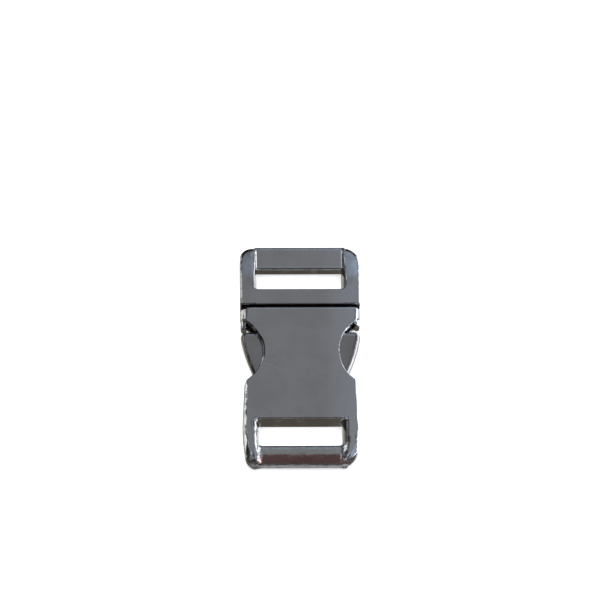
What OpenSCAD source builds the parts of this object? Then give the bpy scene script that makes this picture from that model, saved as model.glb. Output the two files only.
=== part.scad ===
// Side release buckle for webbing, cast metal, fastened and lying on its back.
// X is the width, Y the length towards the male end, Z the thickness.
// The origin is under the middle of the fastened buckle.

/* [Buckle] */
// Largest width of the fastened buckle, at mid height beside the mouth
buckle_w = 26.4; // [25.8:0.1:27.2]
// Thickness of the fastened buckle
buckle_t = 6; // [5.6:0.1:7]
// Gap that stays open between the two halves when they are fastened
shut_gap = 0.6; // [0.3:0.05:1]
// Height of the top of both webbing bars above the back face
bar_h = 4.6; // [4.2:0.1:5]
// Height of the underside of both webbing bars above the back face
bar_foot = 1; // [0.4:0.1:1.6]

/* [Female housing] */
// How far each side bulges out of the face's edge at mid height
side_bulge = 1.1; // [0.8:0.1:1.4]
// Clear width of the webbing slot at mid height
female_slot_w = 18.6; // [18.2:0.1:19.4]
// How far the rails' inner sides bulge into the slot at mid height
female_rail_bulge = 1.2; // [0.5:0.1:1.4]
// Length of the plates, from the mouth to the webbing slot
plate_l = 26.05; // [25:0.1:32]
// Thickness of the front and of the back plate
plate_t = 1.3; // [1:0.05:1.4]
// Length of the webbing slot along the buckle
female_slot_l = 5.65; // [5:0.05:8]
// Length of the webbing bar along the buckle
female_bar_l = 4.4; // [3.8:0.05:5.5]
// Radius of the webbing bar's top edge beside the slot
female_bar_r = 0.6; // [0.4:0.1:1.8]
// Radius of the two corners beside the webbing bar, seen from the front
female_corner_r = 2.8; // [1.5:0.1:3.5]
// Length of the rails' slope, from its start to the end of the housing
female_slope_l = 5.5; // [4.6:0.1:6]
// Radius of the arc down which the rails slope
female_slope_r = 9; // [8.5:0.5:14]
// Radius of the rails' end
female_end_r = 2.2; // [1.4:0.1:2.4]
// Depth of the finger windows, from the side to the waist
window_depth = 4.8; // [4.4:0.05:5.1]
// Distance from the mouth to the waist
waist_from_mouth = 10.2; // [9.9:0.05:10.6]
// Radius of the finger windows
window_r = 8.26; // [8:0.02:8.5]
// How far the housing is narrower, on each side, at the lower corners of the windows
hip_inset = 0.8; // [0.3:0.05:0.9]
// How far the housing is narrower, on each side, along the webbing slot
rail_inset = 0.3; // [0:0.05:0.4]
// How far the housing is narrower, on each side, at its end
end_inset = 1; // [0.4:0.1:1.4]
// Thickness of the side walls at mid height
side_wall_t = 1.6; // [1.2:0.1:1.8]
// Length of the side walls beside the mouth
mouth_wall_l = 4.5; // [4.2:0.05:5]
// Thickness of the wall between the cavity and the webbing slot
slot_wall_t = 2; // [1.5:0.1:3]
// Radius of the corners at the closed end of the cavity
cavity_corner_r = 1; // [0.5:0.1:2]

/* [Male frame] */
// How far the frame is narrower than the housing, on each side
frame_inset = 0.05; // [0:0.05:0.3]
// Clear width of the webbing slot at mid height
male_slot_w = 19; // [18.4:0.1:19.6]
// How far the rails' inner sides bulge into the slot at mid height
male_rail_bulge = 0.85; // [0.4:0.05:1.2]
// Length of the crossbar along the buckle
crossbar_l = 3.6; // [3.4:0.05:5]
// Length of the webbing slot along the buckle
male_slot_l = 5.1; // [4.8:0.05:8]
// Length of the webbing bar along the buckle
male_bar_l = 5.25; // [3.8:0.05:5.5]
// Radius of the webbing bar's top edge beside the slot
male_bar_r = 0.45; // [0.3:0.05:1]
// Radius of the two corners beside the webbing bar, seen from the front
male_corner_r = 2.6; // [1.5:0.1:3.5]
// Length of the rails' slope, from its start to the end of the frame
male_slope_l = 8.4; // [7:0.1:9.2]
// Radius of the arc down which the rails slope
male_slope_r = 23; // [18:0.5:28]
// Radius of the rails' end
male_end_r = 1.4; // [1:0.1:1.8]
// How far the neck reaches into the mouth
neck_l = 1.5; // [1:0.1:2]
// Length of the tongue in front of the neck
tongue_l = 8.15; // [6:0.05:9]
// Distance between the tongue's root and each spring
tongue_clear = 0.85; // [0.5:0.05:1]
// How far each side of the tongue tapers in from its root to its tip
tongue_taper = 1; // [0.5:0.1:1.6]
// Radius of the corners at the tongue's tip
tongue_tip_r = 1.2; // [0.5:0.1:2]

/* [Levers] */
// Thickness of the levers, the neck and the tongue
lever_t = 3; // [2.8:0.05:3.2]
// Distance of each pivot from the side of the buckle
pivot_inset = 4.2; // [4.05:0.05:4.25]
// Depth of the pivots behind the front of the crossbar
pivot_depth = 1.45; // [1.4:0.05:1.6]
// Radius of the lever's eye around its pin
eye_r = 1.3; // [1.2:0.05:1.35]
// Radius of the pivot pins
pin_r = 0.7; // [0.6:0.05:0.75]
// Width of the lever's stem
stem_w = 1.7; // [1.5:0.05:1.8]
// How far the stem's outer side lies outside its pivot
stem_out = 0.6; // [0.5:0.05:0.65]
// How far each lever stays inside the buckle's width at rest
lever_inset = 0.1; // [0:0.05:0.4]
// Radius of the lever's curved outer side, seen from the front
lever_side_r = 32.5; // [28:0.5:40]
// How far the centre of that curve lies beyond the shoulder, along the buckle
lever_crown = 3.9; // [3:0.1:5]
// How far the outer side bulges at mid height
lever_bulge = 0.7; // [0.4:0.05:0.9]
// Radius of the lever's shoulder, seen from the front
shoulder_r = 1.6; // [0.8:0.1:1.9]
// Length of the lever's head, from the shoulder to the tip
head_l = 11.6; // [10.6:0.1:12.2]
// How far the head lies under the plates at the waist
head_tuck = 1.3; // [0.8:0.1:1.5]

/* [Springs] */
// Thickness of the leaf springs
spring_t = 0.25; // [0.2:0.05:0.35]
// Width of the leaf springs
spring_w = 2; // [1.6:0.1:2.4]
// Wall between the spring's slit and the stem's opening, to the slit's middle
spring_wall = 1.4; // [1.1:0.1:1.5]
// Length of the spring's root in its slit
spring_root_l = 0.9; // [0.6:0.1:1.1]
// How far the spring runs straight in front of the neck
spring_straight_l = 0.7; // [0.5:0.1:1.2]
// Distance from the lever's shoulder to the spring's tip
spring_reach = 1.6; // [1.2:0.1:2.4]

/* [Fits] */
// Gap above and below the neck, the tongue and the levers
face_gap = 0.2; // [0.1:0.05:0.25]
// Gap between the neck and each side wall of the mouth
neck_gap = 0.25; // [0.15:0.05:0.4]
// Gap between the mouth's side wall and the lever's shoulder that catches behind it
latch_gap = 0.6; // [0.4:0.05:0.7]
// Gap around the lever's eye in its pocket
eye_gap = 0.15; // [0.1:0.05:0.2]
// Gap between the stem's outer side and the frame that stops it
stop_gap = 0.15; // [0.1:0.05:0.2]
// Room for the stem to swing inwards
swing_room = 0.9; // [0.85:0.05:1]
// Running gap of the lever on its pin, on the radius
pin_run_gap = 0.04; // [0.02:0.01:0.08]
// Gap of the pin in the frame, on the radius
pin_seat_gap = 0.02; // [0.01:0.01:0.03]
// Depth of the pin's blind hole in the front of the crossbar
pin_blind = 0.6; // [0.4:0.1:0.8]
// Gap between a spring and what it touches
spring_gap = 0.06; // [0.04:0.01:0.1]

/* [Hidden] */
$fn = 64;

// A little more, so that a cut passes the surface
over = 1;

// How far the top of the rails' round end stands over their slope, so that the two cross
end_lift = 0.15;

// Places along the buckle, from the female end to the male end
female_l = plate_l + female_slot_l + female_bar_l;
male_l = crossbar_l + male_slot_l + male_bar_l;
total_l = female_l + shut_gap + male_l;
female_end = -total_l / 2;
male_end = total_l / 2;
mouth_y = female_end + female_l;
front_y = mouth_y + shut_gap;
female_slot_y = mouth_y - plate_l;
male_slot_y = front_y + crossbar_l;
waist_y = mouth_y - waist_from_mouth;
mouth_wall_y = mouth_y - mouth_wall_l;
cavity_end = female_slot_y + slot_wall_t;
shoulder_y = mouth_wall_y - latch_gap;
neck_y = front_y - neck_l - shut_gap;
tongue_y = neck_y - tongue_l;
pivot_y = front_y + pivot_depth;

// Places across the buckle, on the right half
side_x = buckle_w / 2;
hip_x = side_x - hip_inset;
rail_x = side_x - rail_inset;
end_x = side_x - end_inset;
frame_x = side_x - frame_inset;
waist_x = side_x - window_depth;
window_x = waist_x + window_r;
hip_y = waist_y - sqrt(pow(window_r, 2) - pow(window_x - hip_x, 2));
mouth_x = side_x - side_wall_t;
cavity_x = hip_x - side_wall_t;
neck_x = mouth_x - neck_gap;
pivot_x = side_x - pivot_inset;
stem_x = pivot_x + stem_out - stem_w;
head_x = waist_x - head_tuck;
lever_x = side_x - lever_inset;
lever_arc_x = lever_x - sqrt(pow(lever_side_r, 2) - pow(lever_crown + shoulder_r, 2));
stop_x = pivot_x + stem_out + stop_gap;
swing_x = stem_x - swing_room;
slit_x = swing_x - spring_wall;
tongue_root_x = slit_x - spring_t / 2 - tongue_clear;
tongue_tip_x = tongue_root_x - tongue_taper;

// Heights above the back face
mid_z = buckle_t / 2;
lever_z = mid_z - lever_t / 2;
cavity_t = lever_t + 2 * face_gap;
cavity_z = mid_z - cavity_t / 2;
pin_hole_top = cavity_z + cavity_t + pin_blind;

// Radius of an arc from its chord and its rise
function arc_radius(chord, rise) = (pow(rise, 2) + pow(chord / 2, 2)) / (2 * rise);
bulge_r = arc_radius(buckle_t, side_bulge);
lever_bulge_r = arc_radius(lever_t, lever_bulge);

// A flat shape drawn in Y and Z, given a width that is centred on X = 0
module across(width) {
    translate([-width / 2, 0, 0])
        rotate([90, 0, 90])
            linear_extrude(width) children();
}

// A flat shape drawn in X and Z, running along Y from one place to another
module along(from_y, to_y) {
    translate([0, to_y, 0])
        rotate([90, 0, 0])
            linear_extrude(to_y - from_y) children();
}

// The waste outside a rounded corner, which lies at the origin and points to +X and +Y
module corner_waste(r) {
    translate([-r, -r])
        difference() {
            square(r + over);
            circle(r);
        }
}

// Half of the buckle's width on both sides
module both_sides() {
    children();
    mirror([1, 0, 0]) children();
}

// Side view of the rails: flat, then down an arc to a rounded end that points to +Y
module rail_side(from_y, end_y, slope_l, slope_r, end_r) {
    slope_y = end_y - slope_l;
    arc_z = buckle_t - slope_r;
    end_top = arc_z + sqrt(pow(slope_r, 2) - pow(slope_l - end_r, 2)) + end_lift;
    translate([from_y, 0])
        square([slope_y - from_y, buckle_t]);
    intersection() {
        translate([slope_y, arc_z]) circle(slope_r, $fn = 128);
        union() {
            translate([slope_y, 0]) square([slope_l - end_r, buckle_t]);
            translate([slope_y, 0]) square([slope_l, end_top - end_r]);
            translate([end_y - end_r, end_top - end_r]) circle(end_r);
        }
    }
}

// Space for the webbing, from a body's face over the bar to past the end at +Y
module webbing_space(body_y, end_y, slot_w, rail_bulge, bar_l, bar_edge_r) {
    bulge_r = arc_radius(buckle_t, rail_bulge);
    cut_x = slot_w / 2 + rail_bulge + 2 * over;
    difference() {
        along(body_y, end_y + over)
            difference() {
                translate([-cut_x, -over])
                    square([2 * cut_x, buckle_t + 2 * over]);
                both_sides()
                    translate([slot_w / 2 + bulge_r, mid_z])
                        circle(bulge_r, $fn = 128);
            }
        across(2 * cut_x + over)
            translate([end_y - bar_l, 0])
                difference() {
                    translate([0, bar_foot])
                        square([bar_l + 2 * over, bar_h - bar_foot]);
                    translate([0, bar_h])
                        mirror([1, 0]) corner_waste(bar_edge_r);
                }
    }
}

// The housing seen from the front, with its finger windows and without its slot
module female_plan() {
    difference() {
        union() {
            translate([-side_x, waist_y])
                square([2 * side_x, mouth_y - waist_y]);
            polygon([
                [-hip_x, waist_y + over], [-hip_x, hip_y], [-rail_x, female_slot_y],
                [-rail_x, female_slot_y - female_slot_l / 2], [-end_x, female_end],
                [end_x, female_end], [rail_x, female_slot_y - female_slot_l / 2],
                [rail_x, female_slot_y], [hip_x, hip_y], [hip_x, waist_y + over]
            ]);
        }
        both_sides() {
            translate([window_x, waist_y]) circle(window_r, $fn = 128);
            translate([end_x, female_end])
                mirror([0, 1]) corner_waste(female_corner_r);
        }
    }
}

// The housing cut across, with its bulging sides
module female_section() {
    bulge_x = side_x - bulge_r;
    intersection() {
        translate([-side_x, 0])
            square([2 * side_x, buckle_t]);
        union() {
            both_sides()
                translate([bulge_x, mid_z]) circle(bulge_r, $fn = 128);
            translate([-bulge_x, 0])
                square([2 * bulge_x, buckle_t]);
        }
    }
}

// The side walls beside the mouth, which reach into the finger windows with a round end
module mouth_walls_plan() {
    end_r = side_wall_t / 2;
    both_sides() {
        translate([mouth_x, mouth_wall_y + end_r])
            square([side_wall_t, mouth_wall_l - end_r]);
        translate([mouth_x + end_r, mouth_wall_y + end_r])
            circle(end_r);
    }
}

// The cavity seen from the front, open at the mouth
module cavity_plan() {
    translate([-mouth_x, waist_y])
        square([2 * mouth_x, waist_from_mouth + over]);
    difference() {
        translate([-cavity_x, cavity_end])
            square([2 * cavity_x, waist_y - cavity_end + over]);
        both_sides()
            translate([cavity_x, cavity_end])
                mirror([0, 1]) corner_waste(cavity_corner_r);
    }
}

module female_housing() {
    color("silver") {
        difference() {
            intersection() {
                linear_extrude(buckle_t) female_plan();
                along(female_end, mouth_y) female_section();
                mirror([0, 1, 0])
                    across(2 * side_x + over)
                        rail_side(-mouth_y, -female_end, female_slope_l, female_slope_r,
                                  female_end_r);
            }
            mirror([0, 1, 0])
                webbing_space(-female_slot_y, -female_end, female_slot_w,
                              female_rail_bulge, female_bar_l, female_bar_r);
            translate([0, 0, plate_t])
                linear_extrude(buckle_t - 2 * plate_t) cavity_plan();
        }
        intersection() {
            translate([0, 0, plate_t])
                linear_extrude(buckle_t - 2 * plate_t) mouth_walls_plan();
            along(female_end, mouth_y) female_section();
        }
    }
}

// The frame seen from the front, without its slot
module male_plan() {
    difference() {
        translate([-frame_x, front_y])
            square([2 * frame_x, male_l]);
        both_sides()
            translate([frame_x, male_end]) corner_waste(male_corner_r);
    }
}

// The neck, with the openings in which the stems swing, and the tongue
module neck_plan() {
    difference() {
        translate([-neck_x, neck_y])
            square([2 * neck_x, front_y - neck_y + over]);
        both_sides() {
            translate([swing_x, neck_y - over])
                square([stop_x - swing_x, front_y - neck_y + 2 * over]);
            translate([slit_x - spring_t / 2 - spring_gap, neck_y - over])
                square([spring_t + 2 * spring_gap, spring_root_l + spring_gap + over]);
        }
    }
    difference() {
        polygon([
            [-tongue_root_x, neck_y + over / 2], [-tongue_root_x, neck_y],
            [-tongue_tip_x, tongue_y], [tongue_tip_x, tongue_y],
            [tongue_root_x, neck_y], [tongue_root_x, neck_y + over / 2]
        ]);
        both_sides()
            translate([tongue_tip_x, tongue_y])
                mirror([0, 1]) corner_waste(tongue_tip_r);
    }
}

// The pocket of one lever in the crossbar, on the right
module lever_pocket() {
    translate([0, 0, cavity_z]) {
        translate([pivot_x, pivot_y, 0])
            cylinder(r = eye_r + eye_gap, h = cavity_t);
        translate([swing_x, front_y - over, 0])
            cube([stop_x - swing_x, pivot_depth + over, cavity_t]);
    }
}

module male_frame() {
    color("gainsboro")
        difference() {
            union() {
                difference() {
                    union() {
                        intersection() {
                            linear_extrude(buckle_t) male_plan();
                            across(2 * frame_x + over)
                                rail_side(front_y, male_end, male_slope_l, male_slope_r,
                                          male_end_r);
                        }
                        translate([0, male_end - male_bar_l / 2, 0])
                            across(male_slot_w) square([male_bar_l / 2, bar_h]);
                    }
                    webbing_space(male_slot_y, male_end, male_slot_w, male_rail_bulge,
                                  male_bar_l, male_bar_r);
                }
                translate([0, 0, lever_z])
                    linear_extrude(lever_t) neck_plan();
            }
            both_sides() {
                lever_pocket();
                translate([pivot_x, pivot_y, -over])
                    cylinder(r = pin_r + pin_seat_gap, h = pin_hole_top + over);
            }
        }
}

// The lever's head seen from the front, before its outer side is rounded off
module head_plan() {
    difference() {
        translate([head_x, shoulder_y - head_l])
            square([lever_x - head_x, head_l]);
        translate([lever_x, shoulder_y]) corner_waste(shoulder_r);
    }
}

// The lever's outer side as a disc with a bulging rim
module lever_side() {
    rim_x = lever_side_r - lever_bulge_r;
    rotate_extrude($fn = 256)
        intersection() {
            square([lever_side_r, lever_t]);
            union() {
                square([rim_x, lever_t]);
                translate([rim_x, lever_t / 2]) circle(lever_bulge_r);
            }
        }
}

module lever() {
    difference() {
        translate([0, 0, lever_z]) {
            intersection() {
                linear_extrude(lever_t) head_plan();
                translate([lever_arc_x, shoulder_y + lever_crown, 0])
                    lever_side();
            }
            translate([stem_x, shoulder_y - over, 0])
                cube([stem_w, pivot_y - shoulder_y + over, lever_t]);
            translate([pivot_x, pivot_y, 0])
                cylinder(r = eye_r, h = lever_t);
        }
        translate([pivot_x, pivot_y, lever_z - over])
            cylinder(r = pin_r + pin_run_gap, h = lever_t + 2 * over);
    }
}

module pin() {
    translate([pivot_x, pivot_y, pin_seat_gap])
        cylinder(r = pin_r, h = pin_hole_top - 2 * pin_seat_gap);
}

// A straight strip of the spring's thickness between two points, with round ends
module strip(from, to) {
    run = to - from;
    translate(from) {
        circle(spring_t / 2);
        rotate(atan2(run[1], run[0]))
            translate([0, -spring_t / 2]) square([norm(run), spring_t]);
    }
    translate(to) circle(spring_t / 2);
}

module spring() {
    root = [slit_x, neck_y + spring_root_l - spring_t / 2];
    knee = [slit_x, neck_y - spring_straight_l];
    tip = [head_x - spring_gap - spring_t / 2, shoulder_y - spring_reach];
    translate([0, 0, mid_z - spring_w / 2])
        linear_extrude(spring_w) {
            strip(root, knee);
            strip(knee, tip);
        }
}

module lever_left() {
    color("darkgray") mirror([1, 0, 0]) lever();
}

module lever_right() {
    color("darkgray") lever();
}

module pin_left() {
    color("dimgray") mirror([1, 0, 0]) pin();
}

module pin_right() {
    color("dimgray") pin();
}

module spring_left() {
    color("lightsteelblue") mirror([1, 0, 0]) spring();
}

module spring_right() {
    color("lightsteelblue") spring();
}

female_housing();
male_frame();
lever_left();
lever_right();
pin_left();
pin_right();
spring_left();
spring_right();
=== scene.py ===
import math

import bmesh
import bpy
import numpy as np
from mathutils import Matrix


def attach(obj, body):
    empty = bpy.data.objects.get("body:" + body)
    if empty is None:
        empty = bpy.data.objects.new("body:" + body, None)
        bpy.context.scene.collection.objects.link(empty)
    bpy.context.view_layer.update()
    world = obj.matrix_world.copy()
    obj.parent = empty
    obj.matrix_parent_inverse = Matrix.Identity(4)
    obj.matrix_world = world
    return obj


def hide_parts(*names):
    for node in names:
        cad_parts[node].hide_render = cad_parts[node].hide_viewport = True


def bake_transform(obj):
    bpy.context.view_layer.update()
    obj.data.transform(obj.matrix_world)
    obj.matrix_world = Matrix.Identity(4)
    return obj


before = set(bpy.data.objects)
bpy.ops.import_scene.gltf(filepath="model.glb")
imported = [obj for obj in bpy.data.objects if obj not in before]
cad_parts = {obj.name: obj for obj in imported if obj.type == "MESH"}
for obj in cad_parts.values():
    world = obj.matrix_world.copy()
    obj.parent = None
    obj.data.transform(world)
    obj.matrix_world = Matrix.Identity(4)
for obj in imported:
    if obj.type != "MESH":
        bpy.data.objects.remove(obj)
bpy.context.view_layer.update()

import openvdb
from mathutils import Matrix, Vector

# Each shape is a field over x, y and z that is negative inside the solid. X runs across the buckle,
# Y from the female end to the male end and Z up from the floor. Lengths are in millimetres until a
# mesh or a node gets them. Where the two sides differ, a pair holds the left and the right value.
MM = 0.001
VOXEL = 0.1
MARGIN = 3 * VOXEL
FLAT_MERGE = 0.02
NORMAL_STEP = 0.01
FIT_ROUNDS = 3

# The whole buckle
THICK = 6.0
MID = THICK / 2
BACK_EDGE = 0.5
BAR_H, BAR_FOOT = 4.6, 1.0
RIGHT_WALL_IN = 0.8

# Places along the buckle
FEMALE_END, MALE_END = -25.325, 25.325
FEMALE_SLOT, MALE_SLOT = -15.275, 14.975
FEMALE_SLOT_L, MALE_SLOT_L = 5.65, 5.1
WAIST, MOUTH, FRONT = 0.575, 10.775, 11.375
MOUTH_WALL, CAVITY_END = 6.275, -13.275
NECK, TONGUE_TIP = 9.275, 1.125

# Places across the buckle, on the right half
SIDE, HIP, RAIL, END_SIDE, FRAME_SIDE = 13.2, 12.4, 12.9, 12.2, 13.15
WINDOW_R = 8.26
WINDOW_X = SIDE - 4.8 + WINDOW_R
MOUTH_X, CAVITY_X, NECK_X = 11.6, 10.8, 11.35
FEMALE_SLOT_W, MALE_SLOT_W = 18.6, 19.0
BAR_ROOT = 0.4
PIVOT_X, PIVOT_Y = 9.0, 12.825
CAVITY_HALF = 1.7
LEVER_HALF = 1.5


def smooth(t):
    """0 below 0, 1 above 1 and a soft step between."""
    t = np.clip(t, 0, 1)
    return t * t * (3 - 2 * t)


def sided(condition, pair):
    """The second value of a pair where the condition holds, as on the right, else the first."""
    first, second = pair
    return np.where(condition, second, first)


def round_and(a, b, r):
    """Intersection of two shapes, its edge rounded."""
    return np.minimum(np.maximum(a, b), -r) + np.hypot(np.maximum(a + r, 0), np.maximum(b + r, 0))


def round_or(a, b, r):
    """Union of two shapes, its corner filled with a fillet."""
    return -round_and(-a, -b, r)


def round_cut(a, b, r):
    """Shape a without shape b, its edge rounded."""
    return round_and(a, -b, r)


def cylinder(x, y, centre_x, centre_y, radius):
    """A round bar that stands upright."""
    return np.hypot(x - centre_x, y - centre_y) - radius


def bulge_radius(depth, half):
    """Radius of the arc that rises by depth over a chord of twice half."""
    return (depth ** 2 + half ** 2) / (2 * depth)


def bulging(side, z, depth, half):
    """A side whose widest line is at mid height and that falls back by depth at the faces."""
    r = bulge_radius(depth, half)
    return np.hypot(np.maximum(side + r, 0), z - MID) - r


def rails(x, z, slot_w, depth):
    """The solid beside a slot. Its inner side is widest at mid height and falls back by depth."""
    r = bulge_radius(depth, MID)
    return np.hypot(np.minimum(x - slot_w / 2 - r, 0), z - MID) - r


def slope(y, z, start, r):
    """A top face that runs down an arc beyond start, towards +Y."""
    arc = np.hypot(np.maximum(y - start, 0), np.maximum(z - (THICK - r), 0)) - r
    return np.where(y > start, arc, z - THICK)


def bar(y, z, start, end, slot_r, end_r, foot_r, height=BAR_H):
    """A webbing bar's cross-section, from its slot side at start to its outer side at end."""
    way = 1 if end > start else -1
    body = round_and(way * (start - y), z - height, slot_r)
    body = round_and(body, way * (y - end), end_r)
    foot = round_and(BAR_FOOT - z, way * (y - end), foot_r)
    return np.maximum(body, round_and(foot, way * (start - y), foot_r))


# Female housing: its outline, and how far the sides fall back
OUTLINE_Y = [FEMALE_END, FEMALE_SLOT - 4.5, FEMALE_SLOT - 1.5, -6.5, -1, WAIST + 4]
OUTLINE_X = [END_SIDE, RAIL - 0.12, RAIL, HIP, SIDE, SIDE]
SIDE_FALL_Y = [FEMALE_END, -10, -1, 7, MOUTH]
SIDE_FALL = [0.7, 0.4, 0.5, 1.0, 1.35]
RIGHT_FALL_MAX = 0.85

# Its corners in plan: in the windows before and beyond the waist, at the end (a pair), at the mouth
WINDOW_CORNERS = (0.2, 0.6)
FEMALE_CORNERS = (1.8, 3.6)
MOUTH_CORNER = 0.75

# Its top: the edge's radius, what is taken off it in the windows (a pair) and added at the end,
# the slope to the end, the low fold beside the slot at the left, and the crown of the rails
SIDE_EDGE = 0.38
WINDOW_EDGE_CUT, WINDOW_EDGE_HALF, WINDOW_EDGE_SOFT = (-0.32, 0.3), 4.0, 1.6
END_EDGE, END_EDGE_L, END_EDGE_SOFT = 0.9, 5, 4
FEMALE_SLOPE_L, FEMALE_SLOPE_R = 5.5, 9.0
FOLD_DEPTH, FOLD_X, FOLD_X_SOFT = 0.13, 11.2, 1.0
FOLD_START, FOLD_START_SOFT = FEMALE_SLOT + 0.2, 0.8
FOLD_END, FOLD_END_SOFT = FEMALE_SLOT - 3.6, 1.4
CROWN, CROWN_X, CROWN_START, CROWN_SOFT = 0.045, 10.4, FEMALE_SLOT - 1.2, 3

# Its slot: how far the walls fall back (a pair), the fillet at the slot's end, and the edge's
# radius, which grows along the rails by a value of the pair
FEMALE_RAIL_FALL, FEMALE_SLOT_FILLET = (0.8, 1.2), 0.7
FEMALE_SLOT_EDGE, RAIL_EDGE, RAIL_EDGE_X, RAIL_EDGE_SOFT = 0.3, (0.4, 0.6), 8.7, 0.9
FEMALE_BAR_RADII, FEMALE_BAR_FILLET = (0.85, 3.3, 0.7), 0.8

# Its cavity and the knobs, which are the side walls' ends in the windows, shifted by a pair
CAVITY_EDGE = 0.22
KNOB_SHIFT, KNOB_GAP, KNOB_FALL, KNOB_EDGE, KNOB_FILLET = (0.4, -0.2), 0.05, 1.1, 0.3, 0.15
KNOB_RIM, KNOB_RIM_EDGE = 0.2, 0.9


def housing(x, y, z):
    """The female housing."""
    on_right = x > 0
    x = np.abs(x)
    depth = np.interp(y, SIDE_FALL_Y, SIDE_FALL)
    depth = np.where(on_right, np.minimum(depth, RIGHT_FALL_MAX), depth)
    side = bulging(x - np.interp(y, OUTLINE_Y, OUTLINE_X), z, depth, MID)
    window = cylinder(x, y, WINDOW_X, WAIST, WINDOW_R)
    body = round_cut(side, window, sided(y > WAIST, WINDOW_CORNERS))
    body = round_and(body, FEMALE_END - y, sided(on_right, FEMALE_CORNERS))
    body = round_and(body, y - MOUTH, MOUTH_CORNER)
    # the top face and its edge
    fold = smooth((FOLD_START - y) / FOLD_START_SOFT) * smooth((y - FOLD_END) / FOLD_END_SOFT)
    fold = np.where(on_right, 0, FOLD_DEPTH * fold * smooth((FOLD_X - x) / FOLD_X_SOFT))
    crown = CROWN * np.maximum(x - CROWN_X, 0) ** 2 * smooth((CROWN_START - y) / CROWN_SOFT)
    top = slope(-y, z + fold + crown, -FEMALE_END - FEMALE_SLOPE_L, FEMALE_SLOPE_R)
    in_window = smooth((WINDOW_EDGE_HALF - np.abs(y - WAIST)) / WINDOW_EDGE_SOFT)
    at_end = smooth((FEMALE_END + END_EDGE_L - y) / END_EDGE_SOFT)
    edge = SIDE_EDGE - sided(on_right, WINDOW_EDGE_CUT) * in_window + END_EDGE * at_end
    body = round_and(body, top, edge)
    body = round_and(body, -z, BACK_EDGE)
    # the webbing slot between the rails, open to the end, and its bar
    slot_w = FEMALE_SLOT_W - RIGHT_WALL_IN * on_right
    wall = rails(x, z, slot_w, sided(on_right, FEMALE_RAIL_FALL))
    wall = round_or(wall, FEMALE_SLOT - y, FEMALE_SLOT_FILLET)
    rail_edge = sided(on_right, RAIL_EDGE) * smooth((x - RAIL_EDGE_X) / RAIL_EDGE_SOFT)
    body = round_and(body, wall, FEMALE_SLOT_EDGE + rail_edge)
    rod = bar(y, z, FEMALE_SLOT - FEMALE_SLOT_L, FEMALE_END, *FEMALE_BAR_RADII)
    rod = np.maximum(rod, x - FEMALE_SLOT_W / 2 - BAR_ROOT)
    body = np.maximum(round_or(body, rod, FEMALE_BAR_FILLET), FEMALE_END - y)
    # the cavity, open at the mouth
    hollow = np.maximum(np.abs(z - MID) - CAVITY_HALF, CAVITY_END - y)
    hollow = np.maximum(hollow, x - np.where(y > WAIST, MOUTH_X, CAVITY_X))
    body = round_cut(body, hollow, CAVITY_EDGE)
    # the side walls beside the mouth, with round ends in the windows
    half = (SIDE - MOUTH_X) / 2
    across = x - (SIDE + MOUTH_X) / 2
    along = np.minimum(y - MOUTH_WALL - half + sided(on_right, KNOB_SHIFT), 0)
    knob = np.maximum(np.hypot(across, along) - half, y - MOUTH + KNOB_GAP)
    knob = round_and(knob, bulging(x - SIDE, z, KNOB_FALL, MID), KNOB_EDGE)
    knob = round_and(knob, np.abs(z - MID) - CAVITY_HALF - KNOB_RIM, KNOB_RIM_EDGE)
    return round_or(body, knob, KNOB_FILLET)


# Male frame: its corners in plan and the crown of its rails (pairs), its slope and its edges
MALE_CORNERS, FRONT_EDGE = (2.6, 3.6), 0.35
MALE_CROWN, MALE_CROWN_X = (0.006, 0.01), 9.9
MALE_SLOPE_L, MALE_SLOPE_R = 8.4, 23.0
MALE_EDGE, MALE_END_EDGE = 0.45, 0.6

# Its slot, how far the walls fall back (a pair), and the bar, with a lip along the slot
MALE_RAIL_FALL, MALE_SLOT_FILLET, MALE_SLOT_EDGE = (0.55, 0.85), 0.65, 0.3
MALE_BAR_IN, MALE_BAR_RADII, MALE_BAR_FILLET = 0.1, (0.3, 0.5, 0.5), 0.25
LIP_W, LIP_H, LIP_RADII, LIP_FILLET = 0.75, 0.05, (0.6, 0.6, 0.5), 0.1

# Its neck and tongue, the gate that each lever's arm passes, and the pockets of the eyes
TONGUE_HALF, TONGUE_TAPER, TONGUE_CORNER = 4.625, 1.0, 1.2
ROOT, INNER_EDGE = 0.5, 0.2
GATE_X, GATE_HALF, GATE_L = 8.375, 1.375, 1
POCKET_R, HOLE_R, HOLE_TOP = 1.45, 0.72, 5.3


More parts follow.
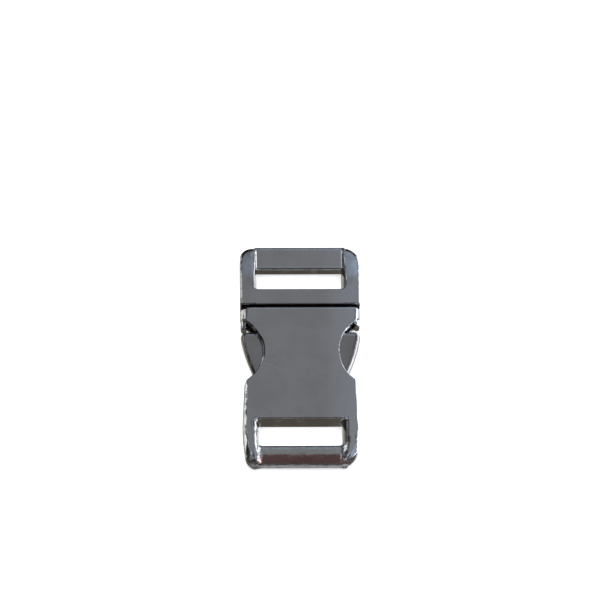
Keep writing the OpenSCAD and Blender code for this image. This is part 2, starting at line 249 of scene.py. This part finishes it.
def male(x, y, z):
    """The male frame with its neck and tongue."""
    on_right = x > 0
    x = np.abs(x)
    block = round_and(x - FRAME_SIDE, y - MALE_END, sided(on_right, MALE_CORNERS))
    crown = sided(on_right, MALE_CROWN) * np.maximum(x - MALE_CROWN_X, 0) ** 2
    top = slope(y, z + crown, MALE_END - MALE_SLOPE_L, MALE_SLOPE_R)
    at_end = smooth((y - MALE_END + END_EDGE_L) / END_EDGE_SOFT)
    block = round_and(block, top, MALE_EDGE + MALE_END_EDGE * at_end)
    block = round_and(block, FRONT - y, FRONT_EDGE)
    block = round_and(block, -z, BACK_EDGE)
    # the webbing slot and its bar
    slot_w = MALE_SLOT_W - RIGHT_WALL_IN * on_right
    wall = rails(x, z, slot_w, sided(on_right, MALE_RAIL_FALL))
    wall = round_or(wall, y - MALE_SLOT, MALE_SLOT_FILLET)
    block = round_and(block, wall, MALE_SLOT_EDGE)
    slot_end = MALE_SLOT + MALE_SLOT_L
    rod = bar(y, z, slot_end + MALE_BAR_IN, MALE_END, *MALE_BAR_RADII)
    lip = bar(y, z, slot_end, slot_end + LIP_W, *LIP_RADII, BAR_H + LIP_H)
    rod = round_or(rod, lip, LIP_FILLET)
    rod = np.maximum(rod, x - MALE_SLOT_W / 2 - BAR_ROOT)
    block = np.maximum(round_or(block, rod, MALE_BAR_FILLET), y - MALE_END)
    # the neck and the tongue, hidden in the housing
    taper = TONGUE_HALF - (NECK - y) * TONGUE_TAPER / (NECK - TONGUE_TIP)
    tongue = round_and(x - taper, TONGUE_TIP - y, TONGUE_CORNER)
    tongue = np.maximum(tongue, y - FRONT - ROOT)
    neck = np.maximum(np.maximum(x - NECK_X, NECK - y), y - FRONT - ROOT)
    beside = np.abs(x - GATE_X) - GATE_HALF
    neck = np.maximum(neck, -np.maximum(beside, y - FRONT - GATE_L))
    inner = round_and(np.minimum(neck, tongue), np.abs(z - MID) - LEVER_HALF, INNER_EDGE)
    block = np.minimum(block, inner)
    # the pockets of the levers' eyes and the pins' holes, open at the back
    pocket = cylinder(x, y, PIVOT_X, PIVOT_Y, POCKET_R)
    way_in = np.maximum(beside, np.maximum(FRONT - GATE_L - y, y - PIVOT_Y))
    pocket = np.maximum(np.minimum(pocket, way_in), np.abs(z - MID) - CAVITY_HALF)
    hole = np.maximum(cylinder(x, y, PIVOT_X, PIVOT_Y, HOLE_R), z - HOLE_TOP)
    return np.maximum(block, -np.minimum(pocket, hole))


# Levers: the pressed side's arc, the head, and the arm with its eye
LEVER_SIDE, LEVER_SIDE_R, LEVER_CROWN = 13.1, 32.5, 3.9
SHOULDER, SHOULDER_R, HEAD_L, HEAD_X = 5.675, 1.6, 11.6, 7.1
LEVER_ARC_X = LEVER_SIDE - math.sqrt(LEVER_SIDE_R ** 2 - (LEVER_CROWN + SHOULDER_R) ** 2)
HEAD_FALL, HEAD_EDGE = 0.7, 0.3
ARM_X, ARM_HALF, ARM_ROOT, ARM_EDGE = 8.75, 0.85, 1, 0.15
EYE_R, BORE_R = 1.3, 0.74

# The rest of the box that a lever's mesh is taken from
LEVER_INNER_X, LEVER_Y, LEVER_Z = 7.0, (-6.2, 14.2), (1.4, 4.6)


def lever(x, y, z):
    """The right lever."""
    rim = cylinder(x, y, LEVER_ARC_X, SHOULDER + LEVER_CROWN, LEVER_SIDE_R)
    rim = round_and(rim, y - SHOULDER, SHOULDER_R)
    head = bulging(rim, z, HEAD_FALL, LEVER_HALF)
    for face in (np.abs(z - MID) - LEVER_HALF, HEAD_X - x, SHOULDER - HEAD_L - y):
        head = round_and(head, face, HEAD_EDGE)
    stem = np.maximum(SHOULDER - ARM_ROOT - y, y - PIVOT_Y)
    stem = np.maximum(np.abs(x - ARM_X) - ARM_HALF, stem)
    arm = np.minimum(stem, cylinder(x, y, PIVOT_X, PIVOT_Y, EYE_R))
    arm = round_and(arm, np.abs(z - MID) - LEVER_HALF, ARM_EDGE)
    bore = cylinder(x, y, PIVOT_X, PIVOT_Y, BORE_R)
    return np.maximum(round_or(head, arm, HEAD_EDGE), -bore)


def lever_mirrored(x, y, z):
    """The left lever."""
    return lever(-x, y, z)


def gradient(field, p):
    """The field's slope at points p, as vectors."""
    g = np.empty_like(p)
    for axis in range(3):
        step = np.zeros(3)
        step[axis] = NORMAL_STEP
        g[:, axis] = field(*(p + step).T) - field(*(p - step).T)
    g /= 2 * NORMAL_STEP
    return g


def surface(field, low, high):
    """Points, unit normals and faces of the surface where the field is zero."""
    low, high = np.array(low) - MARGIN, np.array(high) + MARGIN
    counts = np.ceil((high - low) / VOXEL).astype(int) + 1
    x, y, z = (low[i] + VOXEL * np.arange(counts[i]) for i in range(3))
    values = field(x[:, None, None], y[None, :, None], z[None, None, :])
    grid = openvdb.FloatGrid(MARGIN)
    grid.copyFromArray(np.clip(values, -MARGIN, MARGIN).astype(np.float32))
    points, triangles, quads = grid.convertToPolygons(isovalue=0.0, adaptivity=FLAT_MERGE)
    p = points.astype(float) * VOXEL + low
    for _ in range(FIT_ROUNDS):
        # onto the surface along the slope, by half a voxel at most
        g = gradient(field, p)
        size = np.maximum((g * g).sum(1), 0.25)
        shift = (field(*p.T) / size)[:, None] * g
        p -= np.clip(shift, -0.5 * VOXEL, 0.5 * VOXEL)
    normals = gradient(field, p)
    normals /= np.maximum(np.linalg.norm(normals, axis=1), 1e-6)[:, None]
    faces = [f for f in (triangles, quads) if len(f)]
    first = faces[0]
    a, b, c = (p[first[:, i]] for i in range(3))
    outward = np.einsum("ij,ij->i", np.cross(b - a, c - a), normals[first[:, 0]]).sum() > 0
    return p, normals, [f if outward else f[:, ::-1] for f in faces]


def solid(name, field, low, high):
    """An object of the field's surface between two corners of a box."""
    p, normals, faces = surface(field, low, high)
    sizes = np.concatenate([np.full(len(f), f.shape[1]) for f in faces])
    loops = np.concatenate([f.ravel() for f in faces]).astype(np.int32)
    mesh = bpy.data.meshes.new(name)
    mesh.vertices.add(len(p))
    mesh.vertices.foreach_set("co", (p * MM).astype(np.float32).ravel())
    mesh.loops.add(len(loops))
    mesh.loops.foreach_set("vertex_index", loops)
    mesh.polygons.add(len(sizes))
    mesh.polygons.foreach_set("loop_start", (np.cumsum(sizes) - sizes).astype(np.int32))
    mesh.update(calc_edges=True)
    mesh.validate()
    mesh.polygons.foreach_set("use_smooth", np.ones(len(mesh.polygons), bool))
    if len(mesh.vertices) == len(normals):
        mesh.normals_split_custom_set_from_vertices(normals.astype(np.float32))
    obj = bpy.data.objects.new(name, mesh)
    bpy.context.scene.collection.objects.link(obj)
    return obj


# Materials

class Nodes:
    """Short calls to build one node tree."""

    def __init__(self, tree):
        self.tree = tree
        self.tree.nodes.clear()

    def add(self, kind, inputs=(), **settings):
        node = self.tree.nodes.new(kind)
        for key, value in settings.items():
            setattr(node, key, value)
        for key, value in dict(inputs).items():
            if isinstance(value, bpy.types.NodeSocket):
                self.tree.links.new(value, node.inputs[key])
            else:
                node.inputs[key].default_value = value
        return node

    def output(self, kind, shader):
        self.tree.links.new(shader.outputs[0], self.add(kind).inputs[0])

    def math(self, operation, a, b=0.0):
        return self.add("ShaderNodeMath", {0: a, 1: b}, operation=operation).outputs[0]

    def absolute(self, value):
        return self.math("ABSOLUTE", value)

    def product(self, first, *others):
        for other in others:
            first = self.math("MULTIPLY", first, other)
        return first

    def total(self, first, *others):
        for other in others:
            first = self.math("ADD", first, other)
        return first

    def vector(self, operation, a, b=(0, 0, 0), output=0):
        node = self.add("ShaderNodeVectorMath", {0: a, 1: b}, operation=operation)
        return node.outputs[output]

    def noise(self, vector, scale, detail=3.0, roughness=0.5):
        inputs = {"Vector": vector, "Scale": scale, "Detail": detail, "Roughness": roughness}
        return self.add("ShaderNodeTexNoise", inputs).outputs["Fac"]

    def streaks(self, vector, scales, turn, detail, roughness):
        """Noise stretched by a scale for each axis and turned about Z."""
        inputs = {"Vector": vector, "Rotation": (0, 0, turn), "Scale": scales}
        node = self.add("ShaderNodeMapping", inputs)
        return self.noise(node.outputs[0], 1.0, detail, roughness)

    def span(self, value, zero_at, one_at, low=0.0, high=1.0):
        """A soft step from low where the value is zero_at to high where it is one_at."""
        node = self.add("ShaderNodeMapRange", {0: value, 1: zero_at, 2: one_at, 3: low, 4: high},
                        interpolation_type="SMOOTHSTEP")
        return node.outputs[0]

    def step(self, value, zero_at, one_at):
        """The same for a place, in millimetres."""
        return self.span(value, zero_at * MM, one_at * MM)

    def band(self, value, low, high, soft):
        """1 between low and high, 0 beyond, over the width soft."""
        return self.product(self.span(value, low - soft, low), self.span(value, high + soft, high))

    def mix(self, factor, a, b):
        node = self.add("ShaderNodeMix", {0: factor, 6: a, 7: b}, data_type="RGBA")
        return node.outputs[2]


# Long curved scratches on the face: centre x and y, radius, and the x range, in millimetres
LONG_MARKS = [(-9.44, -10.16, 7.81, -8.2, -4.6)]
LONG_MARK_SHARE = 0.22

# What lies over the plating: real scratches, pits and chips, and painted sheen, reflections, shadow
# and shade
# Painted sheen that lightens the right side and the female end, and painted blue-grey reflection
# patches on the male rails
RIGHT_SHEEN, END_SHEEN, RAIL_REFLECTION = (0.86, 0.91, 1.0, 1), (0.88, 0.88, 0.88, 1), (0.42, 0.44, 0.47, 1)
# A painted brown reflection on the female bar, and the bright bare metal of scratches
BROWN_REFLECTION, BARE = (0.735, 0.53, 0.515, 1), (0.95, 0.95, 0.97, 1)
# Pits; dark edge chips, partly wear and partly painted shade; painted shade in the gap between the
# halves
PIT, CHIP_AND_SHADE, GAP_SHADE = (0.2, 0.16, 0.13, 1), (0.06, 0.055, 0.05, 1), (0.014, 0.008, 0.022, 1)
# Painted shade on left-facing sides and on the female slot's right wall
LEFT_FACING_SHADE, SLOT_WALL_SHADE = (0.13, 0.12, 0.09, 1), (0.03, 0.027, 0.02, 1)
# A painted shadow along the left window's edge and painted shade on right-facing walls
WINDOW_SHADOW, RIGHT_WALL_SHADE = (0.03, 0.03, 0.03, 1), (0.08, 0.08, 0.08, 1)
BUMP_HEIGHT = 0.03


def scratch_masks(n, place, x, y, z, marks):
    """A mask for each long scratch: a thin arc on the top face that fades out upwards."""
    masks = []
    for centre_x, centre_y, radius, low, high in marks:
        away = n.vector("SUBTRACT", place, (centre_x * MM, centre_y * MM, 0))
        away = n.vector("LENGTH", n.vector("MULTIPLY", away, (1, 1, 0)), output="Value")
        off = n.absolute(n.math("SUBTRACT", away, radius * MM))
        masks.append(n.product(n.step(off, 0.14, 0.04), n.band(x, low * MM, high * MM, 0.4 * MM),
                               n.step(z, 5.5, 5.8), n.step(y, -0.6, -1.6), LONG_MARK_SHARE))
    return masks


def chrome(name, tint, dull, rough,
           painted_sheen=0.0, shadow=0.0, worn=0.0, shading=0.8, left_shade=0.65, marks=()):
    """Worn bright plating in two tones on a casting: slow waves, smudges, fine scratches and pits.

    Shares from 0 to 1, in the order of the arguments after rough: the painted sheen, a painted
    reflection that lightens the right side and the female end and lays patches on the male rails;
    the painted shadow along the left window's edge; the dents and chips on the edges, the chips
    heavier on left-facing edges as painted shade; the painted shade on walls that face right; and
    the painted shade on walls that face left.
    """
    mat = bpy.data.materials.new(name)
    mat.use_nodes = True
    n = Nodes(mat.node_tree)
    coords = n.add("ShaderNodeTexCoord").outputs
    place = coords["Object"]
    x, y, z = n.add("ShaderNodeSeparateXYZ", {0: place}).outputs
    facing = n.add("ShaderNodeSeparateXYZ", {0: coords["Normal"]}).outputs

    # noises
    cloud = n.noise(place, 160.0, 3.0, 0.55)
    smudge = n.span(n.noise(place, 420.0, 4.0, 0.6), 0.5, 0.72)
    fine = n.noise(place, 5200.0, 2.0, 0.6)
    scratch = n.span(n.streaks(place, (210, 7000, 210), 0.35, 1.0, 0.5), 0.73, 0.78)
    scratch = n.product(scratch, smudge)
    cells = n.add("ShaderNodeTexVoronoi", {"Vector": place, "Scale": 900.0}, feature="F1")
    pits = n.span(cells.outputs["Distance"], 0.1, 0.05)
    # patches of painted reflection on the male rails
    reflection_patches = n.span(n.streaks(place, (240, 150, 240), 0.3, 1.0, 0.3), 0.48, 0.56)
    chips = n.span(n.noise(place, 520.0, 2.0, 0.5), 0.5, 0.43)

    # parts of the buckle: rounded upper edges, the female bar, the male rails and the rest
    from_middle = n.absolute(x)
    upright = n.absolute(facing[2])
    edge = n.product(n.span(upright, 0.995, 0.93), n.span(upright, 0.1, 0.4))
    between_rails = n.step(from_middle, 9.8, 9.1)
    edge = n.product(edge, n.math("SUBTRACT", 1.0, n.product(between_rails, 0.65)))
    rod = n.product(n.step(y, -20.5, -21.5), n.step(z, 5.2, 4.8))
    # a band of painted brown reflection on the female bar, where it slopes towards the end
    reflected_brown_band = n.product(n.band(facing[1], -0.78, -0.36, 0.06), rod, between_rails)
    male_rails = n.product(n.step(y, 14.5, 17.5), n.step(from_middle, 9.2, 9.8))
    # the gap between the halves, which gets painted shade
    from_gap = n.absolute(n.math("SUBTRACT", y, (MOUTH + FRONT) / 2 * MM))
    in_gap = n.product(n.step(from_gap, 0.5, 0.35), n.step(z, 5.7, 5.3))
    beyond_slot = n.step(y, -7.2, -6.2)
    # sides that face left get painted shade beyond the slot, and so does the female slot's right
    # wall
    facing_left = n.span(facing[0], -0.3, -0.65)
    right_slot_wall = n.product(n.step(x, 0.0, 1.0), n.step(y, -21.2, -20.4), facing_left)
    # the left window's edge, which gets a painted shadow
    window = n.product(n.step(y, -1.4, -0.4), n.step(y, 5.8, 5.0), n.step(x, -7.0, -7.5),
                       n.span(facing[0], -0.1, -0.25))
    # walls that face right get painted shade
    right_wall = n.product(n.span(facing[0], 0.84, 0.93),
                           n.math("MAXIMUM", beyond_slot, n.step(x, 0.0, -1.0)))
    # edge chips weigh more on edges that face left, as painted shade
    chip_shade_weight = n.span(facing[0], 0.2, -0.3, 0.35, 0.9)

    # colour, layer on layer: real scratches and pits, and painted sheen, reflections, shadow and
    # shade
    colour = n.mix(n.span(cloud, 0.35, 0.68), tint, dull)
    # painted sheen at the right and the female end, painted reflection patches on the male rails,
    # and a painted brown reflection on the female bar
    layers = [(n.product(n.step(x, 3, 14), painted_sheen), RIGHT_SHEEN),
              (n.product(n.step(y, -12, -20), painted_sheen * 0.35), END_SHEEN),
              (n.product(reflection_patches, male_rails, painted_sheen * 0.5), RAIL_REFLECTION),
              (reflected_brown_band, BROWN_REFLECTION)]
    layers += [(mask, BARE) for mask in scratch_masks(n, place, x, y, z, marks)]
    # pits; painted shade in the gap, on left-facing sides and on the slot's right wall; edge chips,
    # partly wear and partly painted shade; a painted shadow at the left window; painted shade on
    # right-facing walls
    layers += [(n.product(pits, 0.4), PIT),
               (n.product(in_gap, 0.95), GAP_SHADE),
               (n.product(facing_left, beyond_slot, left_shade), LEFT_FACING_SHADE),
               (n.product(right_slot_wall, 0.97), SLOT_WALL_SHADE),
               (n.product(chips, chip_shade_weight, edge, worn), CHIP_AND_SHADE),
               (n.product(window, shadow), WINDOW_SHADOW),
               (n.product(right_wall, shading), RIGHT_WALL_SHADE)]
    for mask, paint in layers:
        colour = n.mix(mask, colour, paint)

    # roughness and bump
    roughness = n.total(n.product(smudge, 0.08), rough, n.product(scratch, 0.12))
    dents = n.product(n.noise(place, 620.0, 1.0, 0.45), edge, 9.3 * worn)
    ripple = n.product(n.streaks(place, (500, 1100, 900), 0, 3.0, 0.65), rod, 4.5)
    height = n.total(n.noise(place, 330.0, 1.0, 0.4), n.product(fine, 0.012), dents, ripple,
                     n.product(scratch, -0.03), n.product(pits, -0.06))
    bump = n.add("ShaderNodeBump",
                 {"Height": height, "Strength": 1.0, "Distance": BUMP_HEIGHT * MM})
    shader = n.add("ShaderNodeBsdfPrincipled", {"Base Color": colour, "Metallic": 1.0,
                                                "Roughness": roughness, "Normal": bump.outputs[0]})
    n.output("ShaderNodeOutputMaterial", shader)
    return mat


# Both platings carry the painted light and shade set by their shares; the pins and springs get the
# painted shade of the defaults.
plating = chrome("chrome_wear_and_painted_light", (0.66, 0.67, 0.685, 1), (0.6, 0.61, 0.622, 1), 0.16,
                 painted_sheen=0.7, shadow=0.85, worn=0.75, shading=0.5, left_shade=0.39, marks=LONG_MARKS)
lever_plating = chrome("lever_chrome_wear_and_painted_shade", (0.53, 0.53, 0.53, 1), (0.47, 0.47, 0.47, 1), 0.2,
                       worn=0.35, left_shade=0.95)
pin_steel = chrome("pin_steel", (0.5, 0.5, 0.51, 1), (0.42, 0.42, 0.43, 1), 0.28)
spring_steel = chrome("spring_steel", (0.42, 0.43, 0.46, 1), (0.36, 0.37, 0.4, 1), 0.3)

housing_obj = solid("housing", housing, (-SIDE, FEMALE_END, 0), (SIDE, MOUTH, THICK))
male_obj = solid("male", male, (-SIDE, TONGUE_TIP, 0), (SIDE, MALE_END, THICK))
lever_right_obj = solid("right_lever", lever,
                        (LEVER_INNER_X, LEVER_Y[0], LEVER_Z[0]), (SIDE, LEVER_Y[1], LEVER_Z[1]))
lever_left_obj = solid("left_lever", lever_mirrored,
                       (-SIDE, LEVER_Y[0], LEVER_Z[0]), (-LEVER_INNER_X, LEVER_Y[1], LEVER_Z[1]))

for obj, body, node, material in (
    (housing_obj, "buckle", "female_housing", plating),
    (male_obj, "buckle", "male_frame", plating),
    (lever_left_obj, "lever_left", "lever_left", lever_plating),
    (lever_right_obj, "lever_right", "lever_right", lever_plating),
):
    obj.data.materials.append(material)
    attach(obj, body)
    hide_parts(node)

for node, material, slot_name in (
    ("female_housing", plating, "cast_chrome"), ("male_frame", plating, "cast_chrome"),
    ("lever_left", lever_plating, "cast_chrome"), ("lever_right", lever_plating, "cast_chrome"),
    ("pin_left", pin_steel, "pin_steel"), ("pin_right", pin_steel, "pin_steel"),
    ("spring_left", spring_steel, "spring_steel"), ("spring_right", spring_steel, "spring_steel"),
):
    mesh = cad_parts[node].data
    mesh.materials.clear()
    mesh.materials.append(material)


# Each spring gets a copy, cut across into strips between its knee and its tip; the original is
# hidden.
SPRING_X, SPRING_KNEE, SPRING_TIP, SPRING_CUTS = 5.6, 8.575, 4.075, 6

for side, sign in (("left", -1), ("right", 1)):
    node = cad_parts["spring_" + side]
    leaf = bpy.data.objects.new("leaf_" + side, node.data.copy())
    bpy.context.scene.collection.objects.link(leaf)
    cutter = bmesh.new()
    cutter.from_mesh(leaf.data)
    bmesh.ops.triangulate(cutter, faces=cutter.faces[:])
    for step in range(SPRING_CUTS):
        y = (SPRING_KNEE + (SPRING_TIP - SPRING_KNEE) * (step + 0.5) / SPRING_CUTS) * MM
        parts = cutter.verts[:] + cutter.edges[:] + cutter.faces[:]
        bmesh.ops.bisect_plane(cutter, geom=parts, plane_co=(0, y, 0), plane_no=(0, 1, 0))
    cutter.to_mesh(leaf.data)
    cutter.free()
    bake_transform(leaf)
    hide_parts("spring_" + side)


# Floor, in metres

FLOOR_HALF, FLOOR_DROP, FLOOR_GLOW = 0.6, 0.0001, 0.55
floor_mesh = bpy.data.meshes.new("floor")
corners = [(-FLOOR_HALF, -FLOOR_HALF, 0), (FLOOR_HALF, -FLOOR_HALF, 0),
           (FLOOR_HALF, FLOOR_HALF, 0), (-FLOOR_HALF, FLOOR_HALF, 0)]
floor_mesh.from_pydata(corners, [], [(0, 1, 2, 3)])
floor = bpy.data.objects.new("floor", floor_mesh)
floor.location.z = -FLOOR_DROP
bpy.context.scene.collection.objects.link(floor)
paper = bpy.data.materials.new("white_paper")
paper.use_nodes = True
n = Nodes(paper.node_tree)
grain = n.noise(n.add("ShaderNodeTexCoord").outputs["Object"], 900.0, 2.0)
tone = n.mix(n.span(grain, 0.3, 0.7), (0.86, 0.86, 0.86, 1), (0.9, 0.9, 0.9, 1))
n.output("ShaderNodeOutputMaterial", n.add("ShaderNodeBsdfPrincipled", {
    "Base Color": tone, "Roughness": 0.9, "Specular IOR Level": 0.0,
    "Emission Color": (1, 1, 1, 1), "Emission Strength": FLOOR_GLOW}))
floor_mesh.materials.append(paper)
floor.visible_glossy = False


# Light: a world that is dark below the horizon and grey above it, with a paler ring between 25 and
# 63 degrees and dark and bright patches over all, and a soft lamp for the floor

LOW, SOIL, GREY = (0.3, 0.28, 0.25, 1), (0.08, 0.07, 0.05, 1), (0.19, 0.195, 0.205, 1)
RING, RING_BEHIND = (0.335, 0.375, 0.44, 1), (0.2, 0.228, 0.262, 1)
OVERHEAD = (0.232, 0.235, 0.243, 1)

# A patch is measured around from +X or from -X. Then come its range around and the soft width, its
# range of elevation and the soft width, all in degrees, and its colour. Later ones lie on top.
PLUS_X, MINUS_X = 0, 1
BEHIND = (PLUS_X, 58, 120, 14, -75, 19, 4, (0.02, 0.018, 0.018, 1))
PATCHES = [
    (MINUS_X, -62, 24, 14, -6, 30, 5, (0.045, 0.038, 0.034, 1)),
    (MINUS_X, -62, 24, 14, 30, 54, 6, (0.11, 0.11, 0.112, 1)),
    (MINUS_X, -62, 58, 20, -70, -8, 8, (0.17, 0.16, 0.13, 1)),
    (MINUS_X, -50, -6, 6, -58, -26, 8, (1.2, 1.2, 1.12, 1)),
    (MINUS_X, -44, -4, 8, -5, 8, 4, (1.7, 1.75, 1.8, 1)),
    (MINUS_X, -32, -14, 6, 8, 24, 4, (1.5, 1.55, 1.6, 1)),
    (PLUS_X, -135, -45, 15, -62, -8, 8, (0.075, 0.058, 0.05, 1)),
    (PLUS_X, -125, -60, 10, -58, -25, 5, (0.4, 0.4, 0.42, 1)),
    (PLUS_X, -108, -72, 10, -6, 74, 6, (0.095, 0.078, 0.077, 1)),
    (PLUS_X, -142, -118, 4, 30, 66, 4, (0.6, 0.66, 0.75, 1)),
    (PLUS_X, -60, -42, 4, 30, 66, 4, (0.36, 0.4, 0.47, 1)),
    (PLUS_X, 18, 64, 8, 46, 64, 3, (0.05, 0.022, 0.03, 1)),
    (PLUS_X, -14, 48, 12, -32, 9, 4, (2.1, 2.15, 2.2, 1)),
    (PLUS_X, -36, -14, 8, -8, 8, 4, (1.8, 1.85, 1.9, 1)),
    (PLUS_X, 14, 27, 5, 8, 30, 4, (2.0, 2.05, 2.1, 1)),
    (PLUS_X, 10, 72, 8, -75, -26, 5, (1.2, 1.22, 1.25, 1)),
]

world = bpy.data.worlds.new("studio")
bpy.context.scene.world = world
world.use_nodes = True
n = Nodes(world.node_tree)
direction = n.add("ShaderNodeTexCoord").outputs["Generated"]
to_x, to_y, to_z = n.add("ShaderNodeSeparateXYZ", {0: direction}).outputs
DEGREES = 180 / math.pi
elevation = n.product(n.math("ARCSINE", to_z), DEGREES)
around = [n.product(n.math("ARCTAN2", to_y, to_x), DEGREES),
          n.product(n.math("ARCTAN2", n.product(to_y, -1.0), n.product(to_x, -1.0)), DEGREES)]


def add_patch(sky, origin, low, high, soft, bottom, top, edge, colour):
    """The sky with one patch of the colour over it."""
    inside = n.product(n.band(around[origin], low, high, soft),
                       n.band(elevation, bottom, top, edge))
    return n.mix(inside, sky, colour)


sky = n.mix(n.span(elevation, -80, -73), LOW, SOIL)
sky = n.mix(n.span(elevation, -6, 2), sky, GREY)
sky = add_patch(sky, *BEHIND)
ring = n.mix(n.span(around[PLUS_X], 82, 96), RING, RING_BEHIND)
sky = n.mix(n.span(elevation, 23, 27), sky, ring)
sky = n.mix(n.span(elevation, 61, 66), sky, OVERHEAD)
for patch in PATCHES:
    sky = add_patch(sky, *patch)
n.output("ShaderNodeOutputWorld", n.add("ShaderNodeBackground", {"Color": sky, "Strength": 1.0}))

lamp = bpy.data.lights.new("overhead", "AREA")
lamp.shape = "DISK"
lamp.size = 0.9
lamp.energy = 9.0
lamp_obj = bpy.data.objects.new("overhead", lamp)
lamp_obj.location = (0.0, 0.1, 0.9)
lamp_obj.rotation_euler = lamp_obj.location.to_track_quat("Z", "Y").to_euler()
lamp_obj.visible_glossy = False
bpy.context.scene.collection.objects.link(lamp_obj)


# Camera at the photo's viewing angle: degrees, metres from the buckle's middle, and the photo's
# pixels for a millimetre, a side and the place of that middle

VIEW_AZIMUTH, VIEW_ELEVATION, VIEW_ROLL = 4.0, 69.354, 3.576
VIEW_DISTANCE = 1.5
PIXELS_PER_MM = 4.565
FRAME_PX = 600
CENTRE_PX = (300.728, 357.217)
SENSOR = 36.0
azimuth, pitch, roll = (math.radians(a) for a in (VIEW_AZIMUTH, VIEW_ELEVATION, VIEW_ROLL))
flat = math.cos(pitch)
forward = Vector((math.sin(azimuth) * flat, math.cos(azimuth) * flat, -math.sin(pitch)))
right = Vector((math.cos(azimuth), -math.sin(azimuth), 0))
up = right.cross(forward)
right_rolled = right * math.cos(roll) + up * math.sin(roll)
up_rolled = up * math.cos(roll) - right * math.sin(roll)
camera_data = bpy.data.cameras.new("camera")
camera_data.sensor_width = SENSOR
camera_data.lens = SENSOR * VIEW_DISTANCE / (FRAME_PX / PIXELS_PER_MM * MM)
camera_data.shift_x = (FRAME_PX / 2 - CENTRE_PX[0]) / FRAME_PX
camera_data.shift_y = (CENTRE_PX[1] - FRAME_PX / 2) / FRAME_PX
camera = bpy.data.objects.new("camera", camera_data)
bpy.context.scene.collection.objects.link(camera)
rotation = Matrix((right_rolled, up_rolled, -forward)).transposed()
target = Vector((0, 0, MID * MM))
camera.matrix_world = Matrix.Translation(target - forward * VIEW_DISTANCE) @ rotation.to_4x4()
bpy.context.scene.camera = camera
bpy.context.scene.view_settings.view_transform = "Standard"
